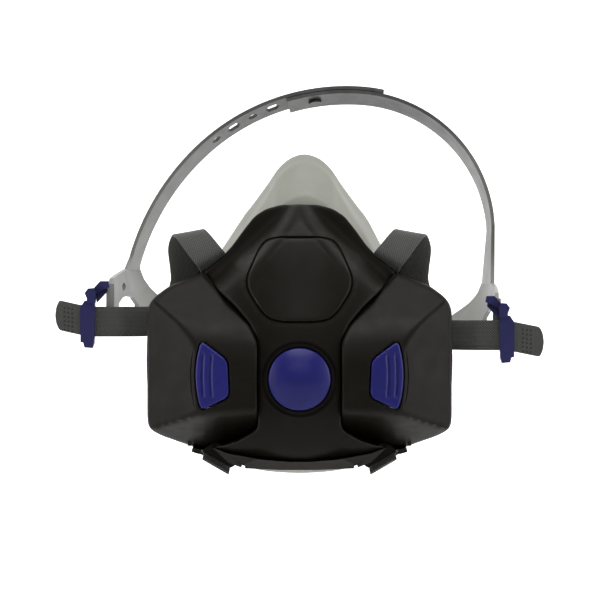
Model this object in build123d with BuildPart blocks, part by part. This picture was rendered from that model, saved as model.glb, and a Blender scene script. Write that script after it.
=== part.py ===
from build123d import *

import os
from math import cos, pi, radians, sin

# Half-mask respirator with push-to-test shutter, release buttons, elastic harness and head cradle.
# Millimetres. The front of the mask faces -Y, the wearer's face is on +Y and +Z is up.
# The origin is the middle of the face opening. "Left" and "right" are as seen from the front.
os.makedirs("parts", exist_ok=True)

# ---------------------------------------------------------------- driving dimensions
FORWARD = (0, -1, 0)
BACKWARD = (0, 1, 0)
WALL = 2.0                 # moulded casings
GAP = 0.35                 # between a moving piece and its casing
SIDES = (("left", -1), ("right", 1))

COVER_BACK = -28.0         # plane where the front cover meets the valve body
PLATE_THICK = 2.5          # valve body plate
PLATE_BACK = COVER_BACK + PLATE_THICK

BUTTON_Z = -16.8           # height of the test button axis
TEST_R = 13.35             # radius of the test button
TEST_FRONT = -69.0         # crown of the test button
TEST_TRAVEL = 3.0
WELL_FLOOR = -52.0         # front face of the floor of the button well
PLUNGER_R = 3.0
PLUNGER_FIT = 0.08

SHUTTER_FRONT = -36.0      # front face of the shutter plate at rest
WINDOW_X = 26.0            # inhalation windows, left and right of the middle
WINDOW_Z = -17.0
WINDOW_R = 8.5
SEAT_HEIGHT = 1.5
VALVE_R = 10.5
VALVE_THICK = 1.0

EXHALE_Z = -40.0           # exhalation window in the valve body
EXHALE_R = 7.0

PORT_X = 65.0              # outer face of the wings, where the filters plug in
PORT_Y = -26.0
PORT_Z = -9.0
PORT_R = 12.0
PORT_DEPTH = 8.0
PORT_WALL = 1.8
GASKET_X = PORT_X - PORT_DEPTH - 2.0

RELEASE_TRAVEL = 3.0
RELEASE_BACK = -54.0       # back face of the release buttons
RELEASE_X = 36.5           # stem of the release button

WEB_WIDTH = 13.5           # harness webbing
WEB_THICK = 1.2

# Head cradle: a conical band on a rolled, tilted plane.
ARCH_CENTRE = (20.9, 22.0, 17.8)
ARCH_ROLL = 21.1           # right side higher
ARCH_TILT = 8.9            # crown leans back
ARCH_R = 98.9              # crown radius, outer face, front edge
ARCH_CONE = 8.1            # the inner face shows from the front
BAND_WIDTH = 15.0
BAND_THICK = 1.6
LEFT_ARC = 23.2            # angle of the crown arc on the left, then a flatter arc
LEFT_SIDE_R = 113.5
LEFT_END = 54.0
RIGHT_ARC = 26.0           # angle of the crown arc on the right, then a tighter arc
RIGHT_SIDE_R = 66.7
RIGHT_END = 109.0
OUTER_END = 34.4           # the outer layer ends on the tighter arc
INNER_TIP = -4.9           # the inner layer ends just right of the crown's middle
LAYER_GAP = 0.35           # between the two layers of the crown


def mirrored(points, side):
    """Points (x, z) drawn for the right half, on the chosen side."""
    return [(side * x, z) for x, z in points]


def half_space(origin, normal):
    """Cutting plane whose normal points away from the kept material."""
    return Plane(origin=origin, z_dir=normal)


# ---------------------------------------------------------------- face seal
# Half outline of the seal from chin to nose, as shares of half width and of height.
SEAL_SHAPE = (
    (0.42, 0.012), (0.66, 0.05), (0.85, 0.125), (1.00, 0.29), (0.985, 0.45),
    (0.85, 0.61), (0.60, 0.745), (0.37, 0.855), (0.19, 0.945),
)


def seal_section(y, half_width, bottom, top):
    """Closed outline of the seal at a depth, pointed at the nose and broad at the chin."""
    height = top - bottom
    right = [(half_width * u, bottom + height * v) for u, v in SEAL_SHAPE]
    left = [(-x, z) for x, z in reversed(right)]
    with BuildSketch(Plane.XZ.offset(-y)) as section:
        with BuildLine():
            Spline((0, bottom), *right, (0, top), *left, (0, bottom), tangents=((1, 0), (1, 0)))
        make_face()
    return section.sketch


SEAL_SECTIONS = ((-30.0, 42.5, -52.5, 60.0), (-16.0, 44.8, -58.5, 77.0), (-2.0, 46.8, -60.5, 85.5),
                 (14.0, 47.8, -60.0, 88.0))
SEAL_WALL = 2.5
LIP_THICK = 2.0
LIP_WIDTH = 9.0


def rim_profile(inset):
    """Side view of everything in front of the rim line, which follows nose, cheek and chin."""
    with BuildSketch(Plane.YZ) as profile:
        with BuildLine():
            Spline((-11 - inset, 100), (-9 - inset, 78), (3 - inset, 45), (9 - inset, 8), (6 - inset, -30),
                   (-3 - inset, -58), (-5 - inset, -75))
            Polyline((-5 - inset, -75), (-60, -75), (-60, 100), (-11 - inset, 100))
        make_face()
    return profile.sketch


with BuildPart() as seal_cavity:
    for depth, half_width, bottom, top in SEAL_SECTIONS:
        add(seal_section(depth, half_width - SEAL_WALL, bottom + SEAL_WALL, top - SEAL_WALL * 1.4))
    loft()
    extrude(rim_profile(LIP_THICK), amount=70, both=True, mode=Mode.INTERSECT)

with BuildPart() as face_opening:
    add(seal_section(-20, 47 - LIP_WIDTH, -60 + LIP_WIDTH * 1.3, 84 - LIP_WIDTH * 2.6))
    extrude(amount=40, dir=BACKWARD)

with BuildPart() as face_seal:
    for depth, half_width, bottom, top in SEAL_SECTIONS:
        add(seal_section(depth, half_width, bottom, top))
    loft()
    extrude(rim_profile(0), amount=70, both=True, mode=Mode.INTERSECT)
    with BuildSketch(Plane.XZ.offset(-COVER_BACK)):
        Rectangle(140, 200)
    extrude(amount=10, mode=Mode.SUBTRACT)
    add(seal_cavity.part, mode=Mode.SUBTRACT)
    add(face_opening.part, mode=Mode.SUBTRACT)

face_seal.part.label = "face_seal"
export_step(face_seal.part, "parts/face_seal.step")

# ---------------------------------------------------------------- valve body
PLATE_CLEAR = 2.4          # inside the seal's flange

with BuildPart() as valve_body:
    add(seal_section(COVER_BACK, 42.6 - SEAL_WALL - PLATE_CLEAR, -52.8 + SEAL_WALL + PLATE_CLEAR,
                     61.0 - SEAL_WALL * 2.8))
    extrude(amount=PLATE_THICK, dir=BACKWARD)
    with BuildSketch(Plane.XZ.offset(-COVER_BACK)):
        with Locations((-WINDOW_X, WINDOW_Z), (WINDOW_X, WINDOW_Z)):
            Circle(WINDOW_R + 1.5)
        with Locations((0, EXHALE_Z)):
            Circle(EXHALE_R + 1.2)
    extrude(amount=SEAT_HEIGHT)
    with BuildSketch(Plane.XZ.offset(-PLATE_BACK)):
        with Locations((-WINDOW_X, WINDOW_Z), (WINDOW_X, WINDOW_Z)):
            Circle(WINDOW_R)
        with Locations((0, EXHALE_Z)):
            Circle(EXHALE_R)
    extrude(amount=PLATE_THICK + SEAT_HEIGHT, mode=Mode.SUBTRACT)
    # Three spokes hold the middle of each window, where the valve disc is fixed.
    with BuildSketch(Plane.XZ.offset(-PLATE_BACK)):
        with Locations((-WINDOW_X, WINDOW_Z), (WINDOW_X, WINDOW_Z), (0, EXHALE_Z)):
            Circle(2.4)
            with PolarLocations(0, 3, start_angle=90):
                with Locations((4.4, 0)):
                    Rectangle(9.2, 1.6)
    extrude(amount=PLATE_THICK)
valve_body.part.label = "valve_body"
export_step(valve_body.part, "parts/valve_body.step")


# ---------------------------------------------------------------- front cover
# Middle line of the cover from chin to nose: height, depth.
COVER_LINE = ((-60, -38), (-53, -51), (-45, -58.5), (-34, -62.5), (-17, -63.5), (0, -62.5), (12, -60.3),
              (26, -55.8), (40, -50.0), (50, -44.5), (60, -35.0))
CROWN_R = 62.0             # crown of the cover across its width
COVER_HALF = 46.0
SEAM_GAP = 0.15            # between the cover and the wings
SEAM = (
    (42.8, 29.2), (36.3, 21.5), (27.7, 13.8), (21.3, 6.5), (18.3, 0.0), (17.8, -2.2), (17.8, -36.6),
    (19.1, -38.7), (26.4, -43.0), (32.5, -45.2), (38.5, -46.4),
)
COVER_TOP = ((42.8, 29.2), (34.0, 36.6), (29.6, 41.4), (24.7, 48.2), (20.0, 54.1), (15.0, 57.4), (8.1, 59.3))
COVER_CHIN = ((38.5, -46.4), (31.0, -49.2), (16.0, -51.6), (4.0, -52.6))

WING_BACK = -28.0
BOX_BACK = -8.0            # the port box reaches further back, beside the seal
BOX_INNER = 47.8
WING_OUTLINE = (
    (18.15, -2.1), (18.7, 0.2), (21.6, 6.7), (28.0, 14.1), (36.5, 21.9), (43.0, 29.3), (44.5, 28.0), (55.0, 23.7),
    (62.7, 18.7), (65.0, 13.8), (65.0, -31.0), (63.7, -36.9), (57.8, -40.8), (42.4, -48.1), (38.5, -46.8),
    (32.6, -45.6), (26.5, -43.4), (19.2, -38.9), (18.15, -36.6),
)
SHUTTER_SLOT = (80.0, 12.0, 24.0)     # room for the shutter behind the cover and the wings


def wing_sketch(side, grow):
    """Outline of a wing, grown or shrunk."""
    with BuildSketch() as outline:
        with BuildLine():
            Polyline(*mirrored(WING_OUTLINE, side), close=True)
        make_face()
        if grow:
            offset(amount=grow, kind=Kind.INTERSECTION)
    return outline.sketch


def cover_outline(inset):
    """Closed outline of the central cover: nose, seam with the wings, chin."""
    right = [*reversed(COVER_TOP), *SEAM[1:-1], *COVER_CHIN]
    left = [(-x, z) for x, z in reversed(right)]
    with BuildSketch(Plane.XZ.offset(-COVER_BACK)) as outline:
        with BuildLine():
            Polyline(*right, *left, close=True)
        make_face()
        for side in (-1, 1):
            add(wing_sketch(side, SEAM_GAP), mode=Mode.SUBTRACT)
        if inset:
            offset(amount=-inset, kind=Kind.INTERSECTION)
    return outline.sketch


def cover_crown(inset):
    """Solid behind the crowned front surface, lofted through level sections."""
    with BuildPart() as crown:
        for z, y in COVER_LINE:
            front = y + inset
            side = front + COVER_HALF ** 2 / (2 * CROWN_R)
            with BuildSketch(Plane.XY.offset(z)):
                with BuildLine():
                    ThreePointArc((-COVER_HALF, side), (0, front), (COVER_HALF, side))
                    Polyline((COVER_HALF, side), (COVER_HALF, -5), (-COVER_HALF, -5), (-COVER_HALF, side))
                make_face()
        loft()
    return crown.part


def skirt_planes(inset):
    """Steep skirt round the badge, above each cheek, and the steep chin."""
    planes = []
    for side in (-1, 1):
        planes.append(half_space((side * 34.0, -37.5 + inset, 27.0), (side * 0.62, -0.42, 0.66)))
        planes.append(half_space((side * 20.0, -37.0 + inset, 51.0), (side * 0.60, -0.45, 0.66)))
    return planes


def cover_block(inset):
    """Outer or inner solid of the cover."""
    with BuildPart() as block:
        add(cover_outline(inset))
        extrude(amount=60, dir=FORWARD)
        add(cover_crown(inset), mode=Mode.INTERSECT)
        for plane in skirt_planes(inset):
            split(bisect_by=plane, keep=Keep.BOTTOM)
    return block.part


BADGE_OUTLINE = ((11.9, 44.2), (16.5, 41.6), (23.8, 24.1), (15.0, 10.4), (9.2, 8.0))
BADGE_DEPTH = 1.4
BADGE_GROOVE = 0.5


def badge_outline(grow):
    """Rounded hexagon of the badge."""
    with BuildSketch(Plane.XZ.offset(-COVER_BACK)) as outline:
        with BuildLine():
            Polyline(*BADGE_OUTLINE, *[(-x, z) for x, z in reversed(BADGE_OUTLINE)], close=True)
        make_face()
        fillet(outline.vertices(), 2.2)
        if grow:
            offset(amount=grow)
    return outline.sketch


def badge_layer(front_inset, back_inset, grow):
    """Badge-shaped slab between two offsets of the crowned surface."""
    with BuildPart() as slab:
        add(badge_outline(grow))
        extrude(amount=60, dir=FORWARD)
        add(cover_crown(front_inset), mode=Mode.INTERSECT)
        add(cover_crown(back_inset), mode=Mode.SUBTRACT)
    return slab.part


LUG_THICK = 2.5            # slotted lugs that carry the webbing, behind the edges of the cover
LUG_SLOT = (15.2, 2.8)
UPPER_LUG = (37.2, 31.5, -30.0, 1.6)      # x, z, turn and slot offset
LOWER_LUG = (37.9, -50.6, 30.0, -2.6)


def lug(side, x, z, turn, slot_offset):
    """Outline of a slotted lug."""
    with BuildSketch(Plane.XZ.offset(-COVER_BACK - LUG_THICK)) as outline:
        with Locations(Location((side * x, z), side * turn)):
            RectangleRounded(19.5, 11, 2)
            with Locations((0, slot_offset)):
                Rectangle(*LUG_SLOT, mode=Mode.SUBTRACT)
    return outline.sketch


with BuildPart() as front_cover:
    add(cover_block(0))
    add(cover_block(WALL), mode=Mode.SUBTRACT)
    for side in (-1, 1):
        for place in (UPPER_LUG, LOWER_LUG):
            add(lug(side, *place))
            extrude(amount=LUG_THICK, dir=FORWARD)
    add(seal_section(COVER_BACK, 44.0, -55.5, 67.5))
    extrude(amount=LUG_THICK + 1, dir=BACKWARD, mode=Mode.SUBTRACT)
    with Locations((0, COVER_BACK - SHUTTER_SLOT[1] / 2, WINDOW_Z)):
        Box(*SHUTTER_SLOT, mode=Mode.SUBTRACT)
    # Exhaled air leaves through the floor of the chin.
    with Locations((0, -37, -51)):
        Box(40, 12, 8, mode=Mode.SUBTRACT)
    # Button well: guide wall, floor and the bore that guides the plunger.
    with BuildSketch(Plane.XZ.offset(-WELL_FLOOR - 2)):
        with Locations((0, BUTTON_Z)):
            Circle(TEST_R + GAP + 1.6)
    extrude(amount=10.8)
    with BuildSketch(Plane.XZ.offset(-WELL_FLOOR)):
        with Locations((0, BUTTON_Z)):
            Circle(TEST_R + GAP)
    extrude(amount=30, mode=Mode.SUBTRACT)
    with BuildSketch(Plane.XZ.offset(-WELL_FLOOR - 4)):
        with Locations((0, BUTTON_Z)):
            Circle(PLUNGER_R + PLUNGER_FIT)
    extrude(amount=10, mode=Mode.SUBTRACT)
    add(badge_layer(-5, BADGE_DEPTH, BADGE_GROOVE), mode=Mode.SUBTRACT)
    add(badge_layer(BADGE_DEPTH, BADGE_DEPTH + 1.2, 2.0))
front_cover.part.label = "front_cover"
export_step(front_cover.part, "parts/front_cover.step")

front_badge = badge_layer(-0.4, BADGE_DEPTH, 0)
front_badge.label = "front_badge"
export_step(front_badge, "parts/front_badge.step")


# ---------------------------------------------------------------- test button, plunger, spring and shutter
def ring(inner, outer, front, back, x, z):
    """Flat ring or disc round an axis along Y, between two depths."""
    with BuildPart() as disc:
        with BuildSketch(Plane.XZ.offset(-back)):
            with Locations((x, z)):
                Circle(outer)
                if inner:
                    Circle(inner, mode=Mode.SUBTRACT)
        extrude(amount=back - front)
    return disc.part


def coil_spring(radius, wire, start, length, turns):
    """Compression spring standing along +Y from a start point."""
    with BuildPart() as spring:
        with BuildLine() as wire_path:
            Helix(pitch=length / turns, height=length, radius=radius, center=start, direction=BACKWARD)
        path = wire_path.wires()[0]
        with BuildSketch(Plane(origin=path @ 0, z_dir=path % 0)):
            Circle(wire / 2)
        sweep(path=path, is_frenet=True)
    return spring.part


TEST_RIM = -64.2           # where the dome meets the side wall
TEST_CEILING = -63.2
TEST_SKIRT = -57.5

with BuildPart() as test_button:
    with BuildSketch(Plane.YZ) as dome_profile:
        with BuildLine():
            ThreePointArc((TEST_FRONT, BUTTON_Z), (TEST_FRONT + 1.15, BUTTON_Z + 7.4), (TEST_RIM, BUTTON_Z + TEST_R))
            Polyline((TEST_RIM, BUTTON_Z + TEST_R), (TEST_SKIRT, BUTTON_Z + TEST_R),
                     (TEST_SKIRT, BUTTON_Z + TEST_R - 1.6), (TEST_CEILING, BUTTON_Z + TEST_R - 1.6),
                     (TEST_CEILING, BUTTON_Z), (TEST_FRONT, BUTTON_Z))
        make_face()
    revolve(axis=Axis((0, 0, BUTTON_Z), BACKWARD))
test_button.part.label = "test_button"
export_step(test_button.part, "parts/test_button.step")

test_plunger = ring(0, PLUNGER_R, TEST_CEILING, SHUTTER_FRONT, 0, BUTTON_Z)
test_plunger.label = "test_plunger"
export_step(test_plunger, "parts/test_plunger.step")

test_spring = coil_spring(6.0, 1.0, (0, TEST_CEILING + 0.6, BUTTON_Z), WELL_FLOOR - TEST_CEILING - 1.2, 4.5)
test_spring.label = "test_spring"
export_step(test_spring, "parts/test_spring.step")

SHUTTER_BACK = SHUTTER_FRONT + 2
PAD_BACK = SHUTTER_BACK + 1.2
with BuildPart() as shutter_plate:
    with BuildSketch(Plane.XZ.offset(-SHUTTER_BACK)):
        with Locations((0, (BUTTON_Z + WINDOW_Z) / 2)):
            RectangleRounded(2 * WINDOW_X + 12, 11, 4)
        with Locations((-WINDOW_X, WINDOW_Z), (WINDOW_X, WINDOW_Z)):
            Circle(WINDOW_R + 1.2)
    extrude(amount=SHUTTER_BACK - SHUTTER_FRONT)
shutter_plate.part.label = "shutter_plate"
export_step(shutter_plate.part, "parts/shutter_plate.step")

for name, side in SIDES:
    pad = ring(0, WINDOW_R + 1.6, SHUTTER_BACK, PAD_BACK, side * WINDOW_X, WINDOW_Z)
    pad.label = f"{name}_shutter_pad"
    export_step(pad, f"parts/{name}_shutter_pad.step")
    disc = ring(0, VALVE_R, PLATE_BACK + 0.05, PLATE_BACK + 0.05 + VALVE_THICK, side * WINDOW_X, WINDOW_Z)
    disc.label = f"{name}_inhalation_valve"
    export_step(disc, f"parts/{name}_inhalation_valve.step")

EXHALE_FRONT = COVER_BACK - SEAT_HEIGHT - 0.05
exhalation_valve = ring(0, EXHALE_R + 1.8, EXHALE_FRONT - VALVE_THICK, EXHALE_FRONT, 0, EXHALE_Z)
exhalation_valve.label = "exhalation_valve"
export_step(exhalation_valve, "parts/exhalation_valve.step")

# ---------------------------------------------------------------- wings that carry the filter ports


def wing_faces(side, inset):
    """Cutting planes of the faceted front: inner face, outer face, top and bottom facets."""
    y = inset
    return (
        half_space((side * 18, -65.2 + y, 0), (side * 0.173, -1, 0)),
        half_space((side * 44, -60.5 + y, 0), (side * 0.85, -1, 0)),
        half_space((side * 44, -60.5 + y * 1.35, 0), (side * 0.1, -1, 0.9)),
        half_space((side * 44, -60.5 + y * 2.3, -32), (side * 0.09, -1, -2.25)),
    )


def wing_block(side, inset):
    """Outer or inner solid of a wing."""
    with BuildPart() as block:
        with BuildSketch(Plane.XZ.offset(-BOX_BACK + inset)):
            add(wing_sketch(side, -inset))
        extrude(amount=70, dir=FORWARD)
        for plane in wing_faces(side, inset):
            split(bisect_by=plane, keep=Keep.BOTTOM)
        with Locations((side * (BOX_INNER + inset) / 2, WING_BACK + 50 - (1 if inset else 0), 0)):
            Box(BOX_INNER + inset, 100, 200, mode=Mode.SUBTRACT)
    return block.part


LEDGE_Y = -46.5            # shelf that the release spring stands on
SPRING_Z = -7.0
RELEASE_OUTLINE = ((42.4, -0.3), (31.0, -8.7), (30.3, -24.4), (42.4, -30.4))
RELEASE_BOW = 44.8
LATCH_X = 51.0
LATCH_THICK = 2.0
STEM_HALF = 3.0
BAR_FRONT = -45.0


def release_outline(side, grow):
    """Four-cornered button with a bowed outer edge."""
    with BuildSketch(Plane.XZ.offset(-WING_BACK)) as outline:
        with BuildLine():
            top, inner_top, inner_bottom, bottom = mirrored(RELEASE_OUTLINE, side)
            Polyline(top, inner_top, inner_bottom, bottom)
            ThreePointArc(bottom, (side * RELEASE_BOW, (top[1] + bottom[1]) / 2), top)
        make_face()
        fillet(outline.vertices(), 1.2)
        if grow:
            offset(amount=grow)
    return outline.sketch


def port_tube(radius, inner_x, outer_x, side):
    """Cylinder along X through the port axis."""
    with BuildPart() as tube:
        with BuildSketch(Plane.YZ.offset(side * inner_x)):
            with Locations((PORT_Y, PORT_Z)):
                Circle(radius)
        extrude(amount=side * (outer_x - inner_x))
    return tube.part


def housing(side):
    """Wing shell with its port socket, button opening and spring ledge."""
    with BuildPart() as shell:
        add(wing_block(side, 0))
        add(wing_block(side, WALL), mode=Mode.SUBTRACT)
        add(port_tube(PORT_R + PORT_WALL, PORT_X - PORT_DEPTH, PORT_X - 0.5, side))
        add(port_tube(PORT_R, PORT_X - PORT_DEPTH - 5, PORT_X + 5, side), mode=Mode.SUBTRACT)
        with BuildSketch(Plane.XZ.offset(-LEDGE_Y - 2)):
            with Locations((side * 29.5, SPRING_Z)):
                Rectangle(22, 6)
        extrude(amount=2)
        add(release_outline(side, GAP))
        extrude(amount=60, dir=FORWARD, mode=Mode.SUBTRACT)
        with Locations((0, COVER_BACK - SHUTTER_SLOT[1] / 2, WINDOW_Z)):
            Box(*SHUTTER_SLOT, mode=Mode.SUBTRACT)
    return shell.part


def housing_share(whole, side, near, far):
    """Share of a wing between two distances from the middle."""
    with BuildPart() as share:
        add(whole)
        with Locations((side * (near + far) / 2, 0, 0)):
            Box(far - near, 200, 200, mode=Mode.INTERSECT)
    return share.part


def release_button(side):
    """Blue button that follows the inner face of the wing, with two grip grooves."""
    with BuildPart() as button:
        add(release_outline(side, 0))
        extrude(amount=60, dir=FORWARD)
        split(bisect_by=half_space((side * 18, -66.2, 0), (side * 0.173, -1, 0)), keep=Keep.BOTTOM)
        with Locations((0, RELEASE_BACK + 50, 0)):
            Box(200, 100, 200, mode=Mode.SUBTRACT)
        with Locations((side * 41.3, -63.2, PORT_Z - 7), (side * 38.9, -63.6, PORT_Z - 7)):
            Box(1.0, 2.4, 14, mode=Mode.SUBTRACT)
    return button.part


def latch(side):
    """Stem, cross bar and the yoke that catches behind the filter's neck."""
    ring_top = PORT_Y - PORT_R - 4.5
    lip = PORT_Y + PORT_R - 2.2
    with BuildPart() as yoke:
        with BuildSketch(Plane.YZ.offset(side * LATCH_X)):
            with Locations(((ring_top + lip) / 2 + 0.2, PORT_Z)):
                RectangleRounded(lip - ring_top + 4.0, 30, 5)
                RectangleRounded(lip - ring_top + 0.4, 26.5, 5, mode=Mode.SUBTRACT)
        extrude(amount=LATCH_THICK / 2, both=True)
        with Locations((side * (RELEASE_X + LATCH_X) / 2, BAR_FRONT + 1, WINDOW_Z - 1)):
            Box(LATCH_X - RELEASE_X + 4, 2, 2 * STEM_HALF)
        with Locations((side * RELEASE_X, (RELEASE_BACK + BAR_FRONT + 2) / 2, WINDOW_Z - 1)):
            Box(4, BAR_FRONT + 2 - RELEASE_BACK, 2 * STEM_HALF)
    return yoke.part


for name, side in SIDES:
    wing = housing(side)
    pieces = {
        f"{name}_port_housing": housing_share(wing, side, BOX_INNER, 80),
        f"{name}_wing_front": housing_share(wing, side, 0, BOX_INNER),
        f"{name}_port_gasket": port_tube(PORT_R + 1.2, GASKET_X, PORT_X - PORT_DEPTH, side)
        - port_tube(PORT_R - 0.8, GASKET_X - 1, PORT_X - PORT_DEPTH + 1, side),
        f"{name}_release_button": release_button(side),
        f"{name}_latch": latch(side),
        f"{name}_release_spring": coil_spring(
            2.2, 0.6, (side * RELEASE_X, RELEASE_BACK + 0.5, SPRING_Z), LEDGE_Y - RELEASE_BACK - 1.0, 4.5),
    }
    for label, piece in pieces.items():
        piece.label = label
        export_step(piece, f"parts/{label}.step")


# ---------------------------------------------------------------- exhalation cover
GRILLE_TOP = ((38.0, -46.9), (31.0, -49.5), (16.0, -51.9), (4.0, -52.9))
GRILLE_BOTTOM = ((31.0, -53.4), (24.0, -56.0), (8.0, -56.8))

with BuildPart() as exhalation_cover:
    with BuildSketch(Plane.XZ.offset(-COVER_BACK)):
        with BuildLine():
            Polyline(*GRILLE_TOP, *[(-x, z) for x, z in reversed(GRILLE_TOP)],
                     *[(-x, z) for x, z in GRILLE_BOTTOM], *reversed(GRILLE_BOTTOM), close=True)
        make_face()
    extrude(amount=60, dir=FORWARD)
    split(bisect_by=half_space((0, -56.5, -51), (0, -1, -1.6)), keep=Keep.BOTTOM)
    split(bisect_by=half_space((20, -55.0, -51), (0.5, -1, -0.4)), keep=Keep.BOTTOM)
    split(bisect_by=half_space((-20, -55.0, -51), (-0.5, -1, -0.4)), keep=Keep.BOTTOM)
    with GridLocations(7.0, 0, 6, 1):
        with Locations((0, -37, -54)):
            Box(4.6, 11, 12, mode=Mode.SUBTRACT)
    with Locations((24.5, -48, -56), (-24.5, -48, -56)):
        Box(1.6, 30, 4, mode=Mode.SUBTRACT)
exhalation_cover.part.label = "exhalation_cover"
export_step(exhalation_cover.part, "parts/exhalation_cover.step")


# ---------------------------------------------------------------- webbing
def webbing(stations):
    """Flat strap through the stations (centre, direction across it)."""
    centres = [Vector(*centre) for centre, across in stations]
    with BuildPart() as web:
        for i, (centre, across) in enumerate(stations):
            along = centres[min(i + 1, len(centres) - 1)] - centres[max(i - 1, 0)]
            with BuildSketch(Plane(origin=centre, x_dir=across, z_dir=along)):
                Rectangle(WEB_WIDTH, WEB_THICK)
        loft(ruled=True)
    return web.part


BUCKLE_X = {"left": 91.8, "right": 89.8}     # inner edge of the frame
BUCKLE_Z = {"left": 7.5, "right": 1.4}       # middle of the strap
BUCKLE_DROP = {"left": 0.0, "right": 0.6}    # the right buckle sits lower on its strap
STRAP_Y = -11.4                              # depth of the strap inside the buckle
TAIL_END = {"left": (109.0, 10.4), "right": (109.0, -1.6)}
CLASP_Y = 110.0
CLASP_Z = -42.0


def face_strap(side, name):
    """From the upper lug, over its fold and behind the wing, out to the buckle."""
    z = BUCKLE_Z[name]
    stations = (
        ((37.4, -21.8, 31.4), (0.87, -0.49)), ((38.0, -26.7, 32.9), (0.87, -0.49)),
        ((38.9, -30.8, 35.0), (0.87, -0.49)), ((41.5, -30.4, 38.2), (0.88, -0.47)),
        ((46.6, -25.5, 44.6), (0.94, -0.34)), ((48.9, -21.8, 46.9), (0.97, -0.22)),
        ((50.6, -18.2, 46.2), (0.99, -0.12)), ((52.3, -12.5, 40.0), (1.0, 0.0)),
        ((51.6, -8.0, 31.0), (1.0, 0.02)), ((51.6, -5.4, 25.0), (1.0, 0.1)),
        ((54.5, -4.0, 16.0), (0.80, 0.60)), ((61.0, -3.6, z + 2.0), (0.35, 0.94)),
        ((67.0, -4.2, z + 0.3), (0.0, 1.0)), ((72.0, -6.4, z), (0.0, 1.0)),
        ((78.0, -10.4, z), (0.0, 1.0)), ((83.0, STRAP_Y, z), (0.0, 1.0)),
        ((BUCKLE_X[name] - 0.4, STRAP_Y, z), (0.0, 1.0)),
    )
    return webbing([((side * x, y, height), (side * u, 0, w)) for (x, y, height), (u, w) in stations])


def neck_strap(side):
    """From the lower lug, behind the cheek and round the neck to the clasp."""
    stations = (
        ((39.1, -34.0, -52.8), (0.87, 0.50)), ((39.2, -26.7, -52.9), (0.87, 0.50)),
        ((40.5, -20.0, -52.4), (0.85, 0.53)), ((43.0, -8.0, -48.5), (0.60, 0.80)),
        ((45.6, 6.0, -43.0), (0.25, 0.97)), ((48.0, 30.0, -38.0), (0.0, 1.0)),
        ((48.0, 58.0, -38.0), (0.0, 1.0)), ((42.0, 84.0, -40.0), (0.0, 1.0)),
        ((32.0, 100.0, -41.5), (0.0, 1.0)), ((22.8, 107.0, CLASP_Z), (0.0, 1.0)),
        ((20.5, CLASP_Y - 1.6, CLASP_Z), (0.0, 1.0)),
    )
    return webbing([((side * x, y, z), (side * u, 0, w)) for (x, y, z), (u, w) in stations])


def strap_tail(side, name):
    """Loose end beyond the buckle."""
    end_x, end_z = TAIL_END[name]
    start = BUCKLE_X[name]
    z = BUCKLE_Z[name]
    stations = ((start + 0.3, STRAP_Y, z), (start + 7.0, STRAP_Y, z + 0.6), (end_x, STRAP_Y - 0.6, end_z))
    return webbing([((side * x, y, height), (0, 0, 1)) for x, y, height in stations])


# Buckle outlines: distance outwards from the frame's inner edge, height above the strap's middle.
FRAME_LINE = ((0.0, 8.4), (0.3, 9.4), (4.5, 9.4), (6.5, 6.4), (6.4, -9.2), (5.2, -9.4), (4.6, -11.6), (1.0, -11.9),
              (0.2, -9.4))
KNOB_LINE = ((-0.2, 8.4), (3.4, 8.4), (3.6, 10.6), (4.5, 12.8), (3.0, 14.9), (0.3, 15.1), (-0.6, 12.8), (-0.5, 11.0))
HOOK_LINE = ((0.6, 14.9), (-2.4, 18.2), (-6.0, 18.2), (-6.5, 15.5), (-2.4, 13.7), (-0.5, 12.6))
WEB_LINE = ((-0.8, 8.4), (-0.2, 13.0), (-5.4, 15.9), (-5.6, 13.6))
FRAME_Y = (-13.8, -8.5)
KNOB_Y = (-14.4, -9.0)
HOOK_Y = (-13.2, -9.4)
WEB_Y = (-11.6, -9.8)


def buckle(side, name):
    """Slotted frame with a faceted knob, and the hook that holds the cradle foot."""
    z = BUCKLE_Z[name]
    low = BUCKLE_DROP[name]
    with BuildPart() as frame:
        for line, (front, back) in ((FRAME_LINE, FRAME_Y), (KNOB_LINE, KNOB_Y), (HOOK_LINE, HOOK_Y), (WEB_LINE, WEB_Y)):
            with BuildSketch(Plane.XZ.offset(-back)):
                with BuildLine():
                    Polyline(*[(side * (BUCKLE_X[name] + u), z + v - low) for u, v in line], close=True)
                make_face()
            extrude(amount=back - front, dir=FORWARD)
        with Locations((side * (BUCKLE_X[name] + 3.2), STRAP_Y, z)):
            Box(20, 2.6, WEB_WIDTH + 1.6, mode=Mode.SUBTRACT)
    return frame.part


for name, side in SIDES:
    pieces = {
        f"{name}_face_strap": face_strap(side, name),
        f"{name}_strap_tail": strap_tail(side, name),
        f"{name}_buckle": buckle(side, name),
        f"{name}_neck_strap": neck_strap(side),
    }
    for label, piece in pieces.items():
        piece.label = label
        export_step(piece, f"parts/{label}.step")

# ---------------------------------------------------------------- neck clasp
PIN_R = 1.8
PIN_FIT = 0.08
CLASP_PLATE = (13.0, 3.0, 17.5)
with BuildPart() as neck_clasp_hook:
    with BuildSketch(Plane.XY.offset(CLASP_Z - 8)):
        with Locations((0, CLASP_Y)):
            Circle(3.2)
        with Locations((-3.5, CLASP_Y)):
            Rectangle(7, 3)
    extrude(amount=3)
    mirror(about=Plane.XY.offset(CLASP_Z))
    with BuildSketch(Plane.XY.offset(CLASP_Z - 8)):
        with Locations((0, CLASP_Y)):
            Circle(PIN_R)
    extrude(amount=16)
    with Locations((-6.5 - CLASP_PLATE[0] / 2, CLASP_Y, CLASP_Z)):
        Box(*CLASP_PLATE)
    with Locations((-15.6, CLASP_Y, CLASP_Z)):
        Box(2.8, 10, WEB_WIDTH + 1.2, mode=Mode.SUBTRACT)
neck_clasp_hook.part.label = "neck_clasp_hook"
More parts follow.
